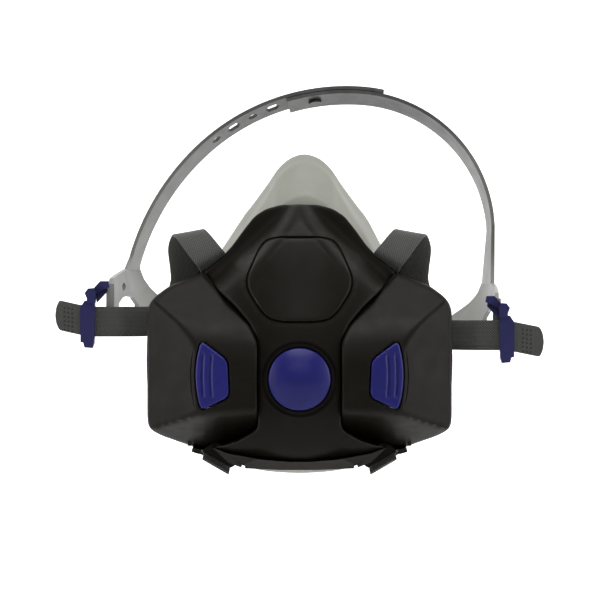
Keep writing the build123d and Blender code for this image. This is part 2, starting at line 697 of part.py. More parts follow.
export_step(neck_clasp_hook.part, "parts/neck_clasp_hook.step")

with BuildPart() as neck_clasp_loop:
    with BuildSketch(Plane.XY.offset(CLASP_Z - 4.6)):
        with Locations((0, CLASP_Y)):
            Circle(3.6)
        with Locations((4.5, CLASP_Y)):
            Rectangle(8, 3)
        with Locations((0, CLASP_Y)):
            Circle(PIN_R + PIN_FIT, mode=Mode.SUBTRACT)
    extrude(amount=9.2)
    with Locations((6.5 + CLASP_PLATE[0] / 2, CLASP_Y, CLASP_Z)):
        Box(*CLASP_PLATE)
    with Locations((15.6, CLASP_Y, CLASP_Z)):
        Box(2.8, 10, WEB_WIDTH + 1.2, mode=Mode.SUBTRACT)
neck_clasp_loop.part.label = "neck_clasp_loop"
export_step(neck_clasp_loop.part, "parts/neck_clasp_loop.step")

# ---------------------------------------------------------------- head cradle
ROLL = radians(ARCH_ROLL)
TILT = radians(ARCH_TILT)
ARCH_ACROSS = Vector(cos(ROLL), 0, sin(ROLL))
ARCH_UP = Vector(-sin(ROLL) * cos(TILT), sin(TILT), cos(ROLL) * cos(TILT))
ARCH_FORWARD = ARCH_UP.cross(ARCH_ACROSS) * -1
CONE = radians(ARCH_CONE)


def arch_point(x, y):
    """Point on the arch plane, x across and y up from the crown centre."""
    return Vector(*ARCH_CENTRE) + ARCH_ACROSS * x + ARCH_UP * y


def band_plane(centre, angle):
    """Plane of the band's section at an angle round a centre."""
    radial = ARCH_ACROSS * cos(radians(angle)) + ARCH_UP * sin(radians(angle))
    return Plane(origin=arch_point(*centre), x_dir=radial, z_dir=radial.cross(ARCH_FORWARD))


def band_section(centre, radius, angle):
    """Tilted rectangle of the conical band."""
    half = BAND_WIDTH / 2
    front = (radius, half)
    back = (radius - BAND_WIDTH * sin(CONE), half - BAND_WIDTH * cos(CONE))
    with BuildSketch(band_plane(centre, angle)) as section:
        with BuildLine():
            Polyline(front, (front[0] - BAND_THICK, front[1]), (back[0] - BAND_THICK, back[1]), back, close=True)
        make_face()
    return section.sketch


def band_arc(centre, radius, start, end):
    """Conical band round a centre, from one angle to another, counter-clockwise from the right."""
    with BuildPart() as band:
        add(band_section(centre, radius, start))
        revolve(axis=Axis(arch_point(*centre), ARCH_FORWARD), revolution_arc=end - start)
    return band.part


FOOT_TOP = 31.0
FOOT_THICK = 1.8
FOOT_DROP = {"left": 0.0, "right": 6.5}
FOOT_PLAN = {              # distance from the middle and depth, from the front edge backwards
    "left": ((85.3, -8.0), (83.4, 5.0), (80.2, 20.0), (75.3, 35.0), (68.0, 47.0), (60.5, 56.0)),
    "right": ((88.9, -8.0), (89.5, 5.0), (89.0, 20.0), (85.8, 35.0), (78.5, 46.0), (69.0, 55.0)),
}
FOOT_OUTLINE = (           # depth and height
    (-8.0, 3.0), (-8.0, 24.5), (-5.0, 27.0), (20.0, 31.5), (35.0, 31.5), (38.0, 27.0), (43.0, 22.5), (50.0, 17.5),
    (57.0, 11.0), (59.0, 3.0), (37.0, 3.0), (36.0, 9.0), (33.0, 15.4), (28.0, 18.3), (21.0, 19.2), (13.0, 18.4),
    (6.6, 15.8), (3.2, 10.0), (2.4, 3.0),
)
FOOT_SLOT = (14.5, 23.2, 2.7, 1.9)
FOOT_RIB = 2.6


def plan_edges(points, thickness):
    """The two long edges of a strip of even thickness along a plan curve."""
    outer, inner = [], []
    for i, point in enumerate(points):
        before = Vector(*points[max(i - 1, 0)])
        after = Vector(*points[min(i + 1, len(points) - 1)])
        along = (after - before).normalized()
        normal = Vector(-along.Y, along.X) * thickness / 2
        outer.append(Vector(*point) + normal)
        inner.append(Vector(*point) - normal)
    return outer, inner


def foot(side, name, band_end):
    """Curved foot with two legs and a wide cut-out, joined to the end of the band."""
    drop = FOOT_DROP[name]
    outer, inner = plan_edges([(side * x, y) for x, y in FOOT_PLAN[name]], FOOT_THICK)
    with BuildPart() as piece:
        with BuildSketch(Plane.XY.offset(-10)):
            with BuildLine():
                Spline(*outer)
                Line(outer[-1], inner[-1])
                Spline(*reversed(inner))
                Line(inner[0], outer[0])
            make_face()
        extrude(amount=50)
        with BuildSketch(Plane.YZ):
            with BuildLine():
                Polyline(*[(y, z - drop) for y, z in FOOT_OUTLINE], close=True)
            make_face()
            with Locations((FOOT_SLOT[0], FOOT_SLOT[1] - drop)):
                Ellipse(*FOOT_SLOT[2:], mode=Mode.SUBTRACT)
        extrude(amount=110, both=True, mode=Mode.INTERSECT)
        with Locations(((outer[0].X + inner[0].X) / 2, outer[0].Y + FOOT_RIB / 2, 13.75 - drop)):
            Box(FOOT_THICK + 1.8, FOOT_RIB, 21.5)
    with BuildPart() as neck:
        add(band_end)
        with BuildSketch(Plane.XY.offset(FOOT_TOP - drop)):
            with BuildLine():
                Polyline(*[(p.X, p.Y) for p in (outer[2], inner[2], inner[3], outer[3])], close=True)
            make_face()
        loft(ruled=True)
    return piece.part + neck.part


def side_centre(crown_r, side_r, angle):
    """Centre of a side arc that continues the crown arc at an angle."""
    return ((crown_r - side_r) * cos(radians(angle)), (crown_r - side_r) * sin(radians(angle)))


INNER_R = ARCH_R - BAND_THICK - LAYER_GAP
TOP = 90.0
STUD_ANGLE = 77.5
LEFT_CENTRE = side_centre(ARCH_R, LEFT_SIDE_R, TOP + LEFT_ARC)
RIGHT_CENTRE = side_centre(INNER_R, RIGHT_SIDE_R, TOP - RIGHT_ARC)


def stud_plane(angle, radius):
    """Plane facing outward in the middle of the band at an angle."""
    radial = ARCH_ACROSS * cos(radians(angle)) + ARCH_UP * sin(radians(angle))
    outward = radial * cos(CONE) - ARCH_FORWARD * sin(CONE)
    middle = arch_point(0, 0) + radial * (radius - BAND_WIDTH / 2 * sin(CONE)) \
        + ARCH_FORWARD * (BAND_WIDTH / 2 * (1 - cos(CONE)))
    return Plane(origin=middle, x_dir=radial.cross(ARCH_FORWARD), z_dir=outward)


with BuildPart() as left_cradle_arm:
    add(band_arc((0, 0), ARCH_R, TOP - RIGHT_ARC, TOP + LEFT_ARC))
    add(band_arc(LEFT_CENTRE, LEFT_SIDE_R, TOP + LEFT_ARC, TOP + LEFT_END))
    add(band_arc(RIGHT_CENTRE, RIGHT_SIDE_R + BAND_THICK + LAYER_GAP, TOP - OUTER_END, TOP - RIGHT_ARC))
    add(foot(-1, "left", band_section(LEFT_CENTRE, LEFT_SIDE_R, TOP + LEFT_END)))
    for angle in (STUD_ANGLE, STUD_ANGLE + 18, STUD_ANGLE + 30):
        with BuildSketch(stud_plane(angle, ARCH_R + 2)):
            Circle(2.3)
        extrude(amount=-6, mode=Mode.SUBTRACT)
    for angle in (STUD_ANGLE + 12, STUD_ANGLE + 24):
        with BuildSketch(stud_plane(angle, ARCH_R + 2)):
            RegularPolygon(3.6, 6)
        extrude(amount=-6, mode=Mode.SUBTRACT)
left_cradle_arm.part.label = "left_cradle_arm"
export_step(left_cradle_arm.part, "parts/left_cradle_arm.step")

with BuildPart() as right_cradle_arm:
    add(band_arc((0, 0), INNER_R, TOP + INNER_TIP, TOP - RIGHT_ARC))
    add(band_arc(RIGHT_CENTRE, RIGHT_SIDE_R, TOP - RIGHT_ARC, TOP - RIGHT_END))
    add(foot(1, "right", band_section(RIGHT_CENTRE, RIGHT_SIDE_R, TOP - RIGHT_END)))
    with BuildSketch(stud_plane(STUD_ANGLE, INNER_R + 1)):
        Circle(2.3)
    extrude(amount=-6, mode=Mode.SUBTRACT)
right_cradle_arm.part.label = "right_cradle_arm"
export_step(right_cradle_arm.part, "parts/right_cradle_arm.step")

with BuildPart() as size_stud:
    with BuildSketch(stud_plane(STUD_ANGLE, ARCH_R + 0.5)):
        Circle(3.0)
    extrude(amount=1.0)
    with BuildSketch(stud_plane(STUD_ANGLE, ARCH_R + 0.6)):
        Circle(2.0)
    extrude(amount=-(2 * BAND_THICK + LAYER_GAP + 1.0))
    with BuildSketch(stud_plane(STUD_ANGLE, INNER_R - BAND_THICK - 0.3)):
        Circle(3.0)
    extrude(amount=-1.0)
size_stud.part.label = "size_stud"
export_step(size_stud.part, "parts/size_stud.step")
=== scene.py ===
"""Half-mask respirator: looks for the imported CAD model. Metres; the front faces -Y and +Z is up."""
import math
from math import cos, pi, radians, sin, sqrt

import bmesh
import bpy
import numpy as np
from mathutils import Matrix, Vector
from mathutils.geometry import delaunay_2d_cdt


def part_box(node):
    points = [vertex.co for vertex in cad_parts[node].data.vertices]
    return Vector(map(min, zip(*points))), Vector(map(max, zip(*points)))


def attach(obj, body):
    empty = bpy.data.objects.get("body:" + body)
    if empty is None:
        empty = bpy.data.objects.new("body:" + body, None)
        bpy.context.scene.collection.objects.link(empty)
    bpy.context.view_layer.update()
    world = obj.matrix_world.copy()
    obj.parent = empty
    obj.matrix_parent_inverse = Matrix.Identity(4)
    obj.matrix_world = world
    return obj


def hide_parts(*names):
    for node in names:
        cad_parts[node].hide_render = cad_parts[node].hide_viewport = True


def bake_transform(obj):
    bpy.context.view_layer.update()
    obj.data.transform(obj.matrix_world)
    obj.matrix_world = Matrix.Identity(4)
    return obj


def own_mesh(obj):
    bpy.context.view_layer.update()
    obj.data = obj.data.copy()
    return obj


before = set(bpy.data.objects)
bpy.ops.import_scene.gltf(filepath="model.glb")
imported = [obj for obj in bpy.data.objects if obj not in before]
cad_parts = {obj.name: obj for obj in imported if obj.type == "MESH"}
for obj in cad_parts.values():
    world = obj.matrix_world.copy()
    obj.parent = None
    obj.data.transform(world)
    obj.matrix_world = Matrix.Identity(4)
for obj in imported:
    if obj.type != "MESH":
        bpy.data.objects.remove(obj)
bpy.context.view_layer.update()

MM = 0.001
SIDES = (("left", -1), ("right", 1))


# ================================================================ plane figures (millimetres)
def resample(points, step):
    """Closed outline with no edge longer than the step; corners are kept."""
    out = []
    for i, a in enumerate(points):
        b = points[(i + 1) % len(points)]
        n = max(1, math.ceil(math.dist(a, b) / step))
        out += [(a[0] + (b[0] - a[0]) * k / n, a[1] + (b[1] - a[1]) * k / n) for k in range(n)]
    return out


def soften(points, cut, rounds=3):
    """Round every corner by cutting it back, up to a distance."""
    for _ in range(rounds):
        out = []
        for i, p in enumerate(points):
            for q in (points[i - 1], points[(i + 1) % len(points)]):
                share = min(cut / max(math.dist(p, q), 1e-9), 0.27)
                out.append((p[0] + (q[0] - p[0]) * share, p[1] + (q[1] - p[1]) * share))
        points = out
        cut *= 0.5
    return points


def circle(x, z, r, n=48):
    return [(x + r * cos(2 * pi * k / n), z + r * sin(2 * pi * k / n)) for k in range(n)]


def inside(loop, pts):
    """Which points lie inside a closed outline."""
    a = np.array(loop)
    b = np.roll(a, -1, axis=0)
    x, y = pts[:, 0][:, None], pts[:, 1][:, None]
    crosses = (a[:, 1] > y) != (b[:, 1] > y)
    with np.errstate(divide="ignore", invalid="ignore"):
        at = a[:, 0] + (y - a[:, 1]) * (b[:, 0] - a[:, 0]) / (b[:, 1] - a[:, 1])
    return (crosses & (x < at)).sum(axis=1) % 2 == 1


def distance(loop, pts):
    """Distance from points to a closed outline."""
    a = np.array(loop)
    d = np.roll(a, -1, axis=0) - a
    length2 = np.maximum((d ** 2).sum(axis=1), 1e-12)
    out = np.empty(len(pts))
    for start in range(0, len(pts), 2000):
        p = pts[start:start + 2000, None, :] - a
        t = np.clip((p * d).sum(axis=2) / length2, 0, 1)
        out[start:start + 2000] = np.sqrt(((p - t[..., None] * d) ** 2).sum(axis=2)).min(axis=1)
    return out


def inset_loop(loop, amount):
    """Outline moved inwards (or outwards for a negative amount) by a small distance."""
    pts = np.array(loop)
    area = 0.5 * np.sum(pts[:, 0] * np.roll(pts[:, 1], -1) - np.roll(pts[:, 0], -1) * pts[:, 1])
    tangent = np.roll(pts, -1, axis=0) - np.roll(pts, 1, axis=0)
    tangent /= np.maximum(np.linalg.norm(tangent, axis=1), 1e-9)[:, None]
    normal = np.stack([-tangent[:, 1], tangent[:, 0]], axis=1) * np.sign(area)
    return pts + normal * amount


def triangulate(outline, holes, features, step, edge):
    """Even triangulation with rows along the edges. Gives points, triangles and loops of indices."""
    loops = [resample(outline, step * 0.7)] + [resample(h, step * 0.7) for h in holes]
    marks = [resample(f, step * 0.7) for f in features]
    points, edges, index = [], [], []
    for loop in loops + marks:
        first = len(points)
        points += [tuple(p) for p in loop]
        ids = list(range(first, first + len(loop)))
        edges += [(ids[i], ids[(i + 1) % len(ids)]) for i in range(len(ids))]
        index.append(ids)
    keep = []
    for n, loop in enumerate(loops):
        sign = 1 if n == 0 else -1
        for share in (0.12, 0.32, 0.62, 1.0):
            ring = inset_loop(loop, sign * edge * share)
            ok = distance(loop, ring) > edge * share * 0.93
            keep.append(ring[ok])
    low, high = np.min(loops[0], axis=0), np.max(loops[0], axis=0)
    rows = []
    for j, z in enumerate(np.arange(low[1], high[1], step * 0.87)):
        for x in np.arange(low[0] + (j % 2) * step / 2, high[0], step):
            rows.append((x, z))
    grid = np.array(rows)
    far = np.min([distance(l, grid) for l in loops + marks], axis=0) > max(step * 0.6, 0)
    far &= np.min([distance(l, grid) for l in loops], axis=0) > edge + step * 0.4
    keep.append(grid[far])
    free = np.concatenate(keep)
    ok = inside(loops[0], free)
    for hole in loops[1:]:
        ok &= ~inside(hole, free)
    if marks:
        ok &= np.min([distance(m, free) for m in marks], axis=0) > step * 0.25
    points += [tuple(p) for p in free[ok]]
    out = delaunay_2d_cdt([Vector(p) for p in points], edges, [], 0, 1e-5)
    verts = np.array([tuple(v) for v in out[0]])
    origin = {old: new for new, olds in enumerate(out[3]) for old in olds}
    tris = np.array([f for f in out[2] if len(f) == 3])
    middle = verts[tris].mean(axis=1)
    ok = inside(loops[0], middle)
    for hole in loops[1:]:
        ok &= ~inside(hole, middle)
    bounds = [[origin[i] for i in ids] for ids in index[:len(loops)]]
    return verts, tris[ok], bounds, loops


def rounding(loops, verts, edge):
    """How far a rounded edge falls away at each point."""
    near = np.min([distance(l, verts) for l in loops], axis=0)
    t = np.clip(1 - near / edge, 0, 1)
    return edge * (1 - np.sqrt(np.maximum(1 - t ** 2, 0)))


# ================================================================ mesh helpers
def finish_mesh(name, verts, faces, sharp=34, uvs=None):
    """Object from points in millimetres, smooth but for edges sharper than an angle."""
    mesh = bpy.data.meshes.new(name)
    mesh.from_pydata([tuple(c * MM for c in v) for v in verts], [], [tuple(int(i) for i in f) for f in faces])
    if uvs is not None:
        layer = mesh.uv_layers.new(name="UVMap")
        for loop in mesh.loops:
            layer.data[loop.index].uv = uvs[loop.vertex_index]
    obj = bpy.data.objects.new(name, mesh)
    bpy.context.scene.collection.objects.link(obj)
    tidy_normals(obj, sharp)
    return obj


def tidy_normals(obj, sharp=34):
    """Outward faces, smooth shading, and sharp edges above an angle."""
    bm = bmesh.new()
    bm.from_mesh(obj.data)
    bmesh.ops.remove_doubles(bm, verts=bm.verts, dist=1e-6)
    bmesh.ops.recalc_face_normals(bm, faces=bm.faces)
    for face in bm.faces:
        face.smooth = True
    for edge in bm.edges:
        if len(edge.link_faces) == 2:
            edge.smooth = edge.calc_face_angle(0) < radians(sharp)
    bm.to_mesh(obj.data)
    bm.free()


def apply_modifier(obj, kind, **settings):
    """Add a modifier and apply it to the mesh at once."""
    modifier = obj.modifiers.new(kind.title(), kind)
    for key, value in settings.items():
        setattr(modifier, key, value)
    graph = bpy.context.evaluated_depsgraph_get()
    mesh = bpy.data.meshes.new_from_object(obj.evaluated_get(graph))
    obj.modifiers.clear()
    old = obj.data
    obj.data = mesh
    bpy.data.meshes.remove(old)
    return obj


def join(name, objects):
    """One object from several."""
    bm = bmesh.new()
    for obj in objects:
        bm.from_mesh(obj.data)
        bpy.data.objects.remove(obj)
    mesh = bpy.data.meshes.new(name)
    bm.to_mesh(mesh)
    bm.free()
    out = bpy.data.objects.new(name, mesh)
    bpy.context.scene.collection.objects.link(out)
    return out


HOLE_WALL = 17.5


def shell(name, outline, height, back, step=1.5, edge=1.2, holes=(), features=(), wall=2.0, rim=0.6, lean=None):
    """Moulded shell: a front surface over an outline, and walls down to a back depth."""
    verts, tris, bounds, loops = triangulate(outline, holes, features, step, edge)
    drop = rounding(loops[:1], verts, edge)
    if len(loops) > 1:
        drop = np.maximum(drop, rounding(loops[1:], verts, rim))
    depth = np.array([height(x, z) for x, z in verts]) + drop
    points = [(x, y, z) for (x, z), y in zip(verts, depth)]
    faces = [tuple(t) for t in tris]
    for n, ids in enumerate(bounds):
        rows = [ids]
        outwards = np.array(loops[n]) - inset_loop(loops[n], 1.0)
        for share in (0.12, 0.25, 0.6, 1.0):
            row = []
            for i, (ox, oz) in zip(ids, outwards):
                x, y, z = points[i]
                end = back(x, z) if n == 0 else y + HOLE_WALL
                spread = lean(x, z) if lean and n == 0 and share > 0.2 else 0.0
                row.append(len(points))
                points.append((x + ox * spread, y + (end - y) * share, z + oz * spread))
            rows.append(row)
        for a, b in zip(rows, rows[1:]):
            for i in range(len(ids)):
                j = (i + 1) % len(ids)
                faces.append((a[i], a[j], b[j], b[i]))
    obj = finish_mesh(name, points, faces)
    apply_modifier(obj, "SOLIDIFY", thickness=wall * MM, offset=-1)
    tidy_normals(obj)
    return obj


def plate(name, outline, place, thickness, step=1.5, edge=0.4, holes=(), features=(), relief=None, uv=None):
    """Closed sheet of material: a flat figure carried into space by place(a, b, depth)."""
    verts, tris, bounds, loops = triangulate(outline, holes, features, step, edge)
    drop = rounding(loops, verts, edge)
    extra = np.array([relief(a, b) for a, b in verts]) if relief else np.zeros(len(verts))
    count = len(verts)
    points = [place(a, b, d + e) for (a, b), d, e in zip(verts, drop, extra)]
    points += [place(a, b, thickness - d) for (a, b), d in zip(verts, drop)]
    faces = [tuple(t) for t in tris] + [tuple(i + count for i in reversed(t)) for t in tris]
    for ids in bounds:
        for i in range(len(ids)):
            j = (i + 1) % len(ids)
            faces.append((ids[i], ids[j], ids[j] + count, ids[i] + count))
    uvs = [(a * 0.01, b * 0.01) for a, b in verts] * 2
    return finish_mesh(name, points, faces, uvs=uvs)


def smooth_max(a, b, width):
    """The larger of two, blended where they are close."""
    h = max(width - abs(a - b), 0.0) / width
    return max(a, b) + h * h * width / 4


def spline(points, n):
    """Catmull-Rom curve through points, n steps a span."""
    p = [np.array(q, float) for q in points]
    p = [2 * p[0] - p[1]] + p + [2 * p[-1] - p[-2]]
    out = []
    for i in range(1, len(p) - 2):
        for k in range(n):
            t = k / n
            out.append(0.5 * (2 * p[i] + (p[i + 1] - p[i - 1]) * t
                              + (2 * p[i - 1] - 5 * p[i] + 4 * p[i + 1] - p[i + 2]) * t ** 2
                              + (3 * p[i] - p[i - 1] - 3 * p[i + 1] + p[i + 2]) * t ** 3))
    out.append(p[-2])
    return out


def lathe(name, profile, centre, n=96):
    """Turned solid about an axis along Y: profile of (radius, depth)."""
    x0, z0 = centre
    points, faces = [], []
    for r, y in profile:
        points += [(x0 + r * cos(2 * pi * k / n), y, z0 + r * sin(2 * pi * k / n)) for k in range(n)]
    for i in range(len(profile) - 1):
        for k in range(n):
            j = (k + 1) % n
            faces.append((i * n + k, i * n + j, (i + 1) * n + j, (i + 1) * n + k))
    return finish_mesh(name, points, faces)


# ================================================================ materials
class Shade:
    """Small helper that builds a node material round one Principled shader."""

    def __init__(self, name):
        self.material = bpy.data.materials.new(name)
        self.material.use_nodes = True
        self.tree = self.material.node_tree
        self.shader = self.tree.nodes["Principled BSDF"]
        self.where = self.node("ShaderNodeTexCoord").outputs["Object"]
        self.uv = self.node("ShaderNodeTexCoord").outputs["UV"]

    def node(self, kind, **settings):
        node = self.tree.nodes.new(kind)
        for key, value in settings.items():
            if key in node.inputs:
                node.inputs[key].default_value = value
            else:
                setattr(node, key, value)
        return node

    def link(self, a, b):
        self.tree.links.new(a, b)

    def noise(self, scale, detail=4.0, roughness=0.55, vector=None):
        node = self.node("ShaderNodeTexNoise")
        node.inputs["Scale"].default_value = scale
        node.inputs["Detail"].default_value = detail
        node.inputs["Roughness"].default_value = roughness
        self.link(vector or self.where, node.inputs["Vector"])
        return node.outputs["Fac"]

    def ramp(self, value, stops):
        node = self.node("ShaderNodeValToRGB")
        ramp = node.color_ramp
        while len(ramp.elements) < len(stops):
            ramp.elements.new(0.5)
        for element, (at, colour) in zip(ramp.elements, stops):
            element.position = at
            element.color = (*colour, 1.0)
        self.link(value, node.inputs["Fac"])
        return node.outputs["Color"]

    def range(self, value, low, high, new_low, new_high):
        node = self.node("ShaderNodeMapRange")
        for key, number in (("From Min", low), ("From Max", high), ("To Min", new_low), ("To Max", new_high)):
            node.inputs[key].default_value = number
        self.link(value, node.inputs["Value"])
        return node.outputs["Result"]

    def math(self, operation, a, b=None, c=None):
        node = self.node("ShaderNodeMath", operation=operation)
        for slot, value in zip(node.inputs, (a, b, c)):
            if isinstance(value, (int, float)):
                slot.default_value = value
            elif value is not None:
                self.link(value, slot)
        return node.outputs["Value"]

    def mix(self, factor, a, b):
        node = self.node("ShaderNodeMix", data_type="RGBA")
        for slot, value in ((node.inputs[0], factor), (node.inputs[6], a), (node.inputs[7], b)):
            if isinstance(value, (int, float)):
                slot.default_value = value
            elif isinstance(value, tuple):
                slot.default_value = (*value, 1.0)
            else:
                self.link(value, slot)
        return node.outputs[2]

    def bump(self, height, strength, distance, below=None):
        node = self.node("ShaderNodeBump")
        node.inputs["Strength"].default_value = strength
        node.inputs["Distance"].default_value = distance
        self.link(height, node.inputs["Height"])
        if below:
            self.link(below, node.inputs["Normal"])
        return node.outputs["Normal"]

    def edges(self):
        """Worn, slightly lighter outer edges."""
        return self.node("ShaderNodeNewGeometry").outputs["Pointiness"]

    def set(self, **values):
        for key, value in values.items():
            slot = self.shader.inputs[key.replace("_", " ")]
            if isinstance(value, (int, float)):
                slot.default_value = value
            elif isinstance(value, tuple):
                slot.default_value = (*value, 1.0) if len(value) == 3 else value
            else:
                self.link(value, slot)
        return self.material


def moulded(name, dark, light, rough, grain=0.35, spec=0.5):
    """Moulded plastic: fine spark-eroded grain, faint flow marks and rubbed edges."""
    s = Shade(name)
    flow = s.noise(28, 5)
    cloud = s.noise(140, 3)
    colour = s.ramp(flow, ((0.32, dark), (0.7, light)))
    worn = s.range(s.edges(), 0.52, 0.60, 0.0, 0.55)
    edge_colour = tuple(min(1.0, c * 1.9 + 0.012) for c in light)
    colour = s.mix(worn, colour, edge_colour)
    roughness = s.range(cloud, 0.3, 0.7, rough - 0.05, rough + 0.06)
    grain_height = s.noise(3600, 2, 0.6)
    normal = s.bump(grain_height, grain, 0.00006)
    normal = s.bump(flow, 0.08, 0.0004, normal)
    return s.set(Base_Color=colour, Roughness=roughness, Normal=normal, Coat_Weight=0.0, Coat_Roughness=0.35,
                 Specular_IOR_Level=spec)


def silicone(name):
    """Matt silicone rubber with a dusty bloom."""
    s = Shade(name)
    cloud = s.noise(45, 5)
    colour = s.ramp(cloud, ((0.3, (0.215, 0.220, 0.185)), (0.72, (0.265, 0.270, 0.230))))
    dust = s.noise(900, 4)
    colour = s.mix(s.range(dust, 0.58, 0.75, 0.0, 0.35), colour, (0.31, 0.32, 0.28))
    normal = s.bump(s.noise(2600, 3), 0.25, 0.00008)
    return s.set(Base_Color=colour, Roughness=s.range(cloud, 0.3, 0.7, 0.50, 0.62), Normal=normal,
                 Sheen_Weight=0.25, Sheen_Roughness=0.5, Subsurface_Weight=0.06, Subsurface_Scale=0.002)


def woven(name, pitch=1.15):
    """Narrow woven elastic: ribs across the width, warp yarns along it, fuzz on top."""
    s = Shade(name)
    split = s.node("ShaderNodeSeparateXYZ")
    s.link(s.uv, split.inputs[0])
    across, along = split.outputs[0], split.outputs[1]
    yarn = s.math("SINE", s.math("MULTIPLY", across, 2 * pi * 100 / pitch))
    stagger = s.math("MULTIPLY", s.math("SIGN", yarn), pi / 2)
    rib = s.math("SINE", s.math("ADD", s.math("MULTIPLY", along, 2 * pi * 100 / pitch), stagger))
    weave = s.math("MULTIPLY", s.math("ABSOLUTE", yarn), s.range(rib, -1, 1, 0.25, 1.0))
    fuzz = s.noise(2300, 4, 0.7)
    cloud = s.noise(60, 4)
    lit = s.math("ADD", s.math("MULTIPLY", weave, 0.75), s.math("MULTIPLY", fuzz, 0.45))
    colour = s.ramp(lit, ((0.15, (0.022, 0.023, 0.022)), (0.62, (0.070, 0.072, 0.065)), (1.0, (0.126, 0.130, 0.118))))
    colour = s.mix(s.range(cloud, 0.35, 0.7, 0.0, 0.25), colour, (0.05, 0.052, 0.047))
    normal = s.bump(weave, 0.75, 0.00022)
    normal = s.bump(fuzz, 0.35, 0.00010, normal)
    return s.set(Base_Color=colour, Roughness=0.86, Normal=normal, Sheen_Weight=0.35, Sheen_Roughness=0.45,
                 Specular_IOR_Level=0.25)


def cradle_plastic(name):
    """Semi-clear band, with painted shade darkening it at the crown and painted light making it paler at the feet."""
    s = Shade(name)
    flow = s.noise(28, 5)
    base = s.ramp(flow, ((0.32, (0.086, 0.087, 0.083)), (0.7, (0.115, 0.116, 0.111))))
    split = s.node("ShaderNodeSeparateXYZ")
    s.link(s.where, split.inputs[0])
    # Painted light and shade by height: brightened low down at the feet, darkened at the crown where shade falls.
    tone = s.ramp(s.range(split.outputs[2], 0.0, 0.12, 0.0, 1.0),
                  ((0.20, (3.2, 3.2, 3.15)), (0.34, (1.4, 1.4, 1.38)), (0.70, (1.05, 1.05, 1.05)),
                   (0.80, (0.32, 0.32, 0.32)), (0.87, (0.07, 0.07, 0.07))))
    mixer = s.node("ShaderNodeMix", data_type="RGBA", blend_type="MULTIPLY")
    mixer.inputs[0].default_value = 1.0
    s.link(base, mixer.inputs[6])
    s.link(tone, mixer.inputs[7])
    rubbed = s.range(s.edges(), 0.52, 0.60, 0.0, 0.35)
    colour = s.mix(rubbed, mixer.outputs[2], (0.16, 0.16, 0.155))
    normal = s.bump(s.noise(3600, 2, 0.6), 0.2, 0.00006)
    normal = s.bump(flow, 0.08, 0.0004, normal)
    return s.set(Base_Color=colour, Roughness=s.range(s.noise(140, 3), 0.3, 0.7, 0.30, 0.40), Normal=normal,
                 Specular_IOR_Level=0.22)


def metal(name):
    """Drawn spring wire."""
    s = Shade(name)
    streak = s.noise(900, 5)
    colour = s.ramp(streak, ((0.3, (0.42, 0.42, 0.43)), (0.7, (0.62, 0.62, 0.63))))
    return s.set(Base_Color=colour, Metallic=1.0, Roughness=s.range(streak, 0.3, 0.7, 0.24, 0.42),
                 Normal=s.bump(streak, 0.2, 0.00005))


BLACK = moulded("front_plastic", (0.0062, 0.0050, 0.0034), (0.0090, 0.0074, 0.0052), 0.40, grain=0.3, spec=0.10)
BADGE = moulded("badge_plastic", (0.0062, 0.0050, 0.0034), (0.0090, 0.0074, 0.0052), 0.36, grain=0.2, spec=0.12)
BLUE = moulded("blue_plastic", (0.0085, 0.0085, 0.105), (0.0125, 0.0125, 0.145), 0.36, grain=0.15, spec=0.25)
BUCKLE_BLUE = moulded("buckle_plastic", (0.0075, 0.0075, 0.042), (0.0105, 0.0105, 0.06), 0.40, grain=0.15, spec=0.22)
CRADLE = cradle_plastic("cradle_plastic")
INNER = moulded("inner_plastic", (0.05, 0.05, 0.052), (0.08, 0.08, 0.083), 0.5)
RUBBER = moulded("valve_rubber", (0.42, 0.41, 0.36), (0.52, 0.50, 0.45), 0.6, grain=0.2)
PAD = moulded("pad_rubber", (0.010, 0.010, 0.010), (0.02, 0.02, 0.02), 0.7)
SILICONE = silicone("silicone")
WEB = woven("webbing")
STEEL = metal("spring_steel")


def paint(obj, material):
    obj.data.materials.clear()
    obj.data.materials.append(material)


# ================================================================ driving shapes, as on the CAD model
BUTTON_Z = -16.8
TEST_R = 13.35
COVER_BACK = -28.0
BOX_BACK = -8.0
BOX_INNER = 47.8
PORT = (-26.0, -9.0, 12.0)          # depth, height and radius of the filter ports

WING_OUTLINE = (
    (18.15, -2.1), (18.7, 0.2), (21.6, 6.7), (28.0, 14.1), (36.5, 21.9), (43.0, 29.3), (44.5, 28.4), (57.0, 23.6),
    (64.0, 18.2), (66.7, 13.5), (66.7, -35.0), (65.9, -38.8), (62.0, -42.0), (46.0, -48.6), (42.4, -49.4), (38.5, -46.8),
    (32.6, -45.6), (26.5, -43.4), (19.2, -38.9), (18.15, -36.6),
)
COVER_HALF_OUTLINE = (
    (8.1, 59.3), (15.0, 57.4), (20.0, 54.1), (24.7, 48.2), (29.6, 41.4), (34.0, 36.6), (42.5, 29.5), (36.2, 22.1),
    (27.8, 14.35), (21.4, 6.85), (18.45, 0.3), (17.9, -2.1), (17.9, -36.7), (19.0, -39.15), (26.4, -43.65),
    (32.5, -45.9), (38.2, -46.95), (31.0, -49.2), (16.0, -51.6), (4.0, -52.6),
)
RELEASE_OUTLINE = ((42.4, -0.3), (31.0, -8.7), (30.3, -24.4), (42.4, -30.4), (44.2, -22.9), (44.8, -15.3), (44.2, -7.8))
BADGE_OUTLINE = ((11.9, 44.2), (16.5, 41.6), (23.8, 24.1), (15.0, 10.4), (9.2, 8.0))
COVER_LINE = ((-60, -38), (-53, -51), (-45, -58.5), (-34, -62.5), (-17, -63.5), (0, -62.5), (12, -60.3),
              (26, -55.8), (40, -50.0), (50, -44.5), (60, -35.0))
CROWN_R = 62.0
RIM_FRONT = -31.0           # the skirt ends in a narrow rim
COVER_SKIRTS = ((34.0, -37.5, 27.0, 0.62, -0.42, 0.66), (20.0, -37.0, 51.0, 0.60, -0.45, 0.66))   # point, normal


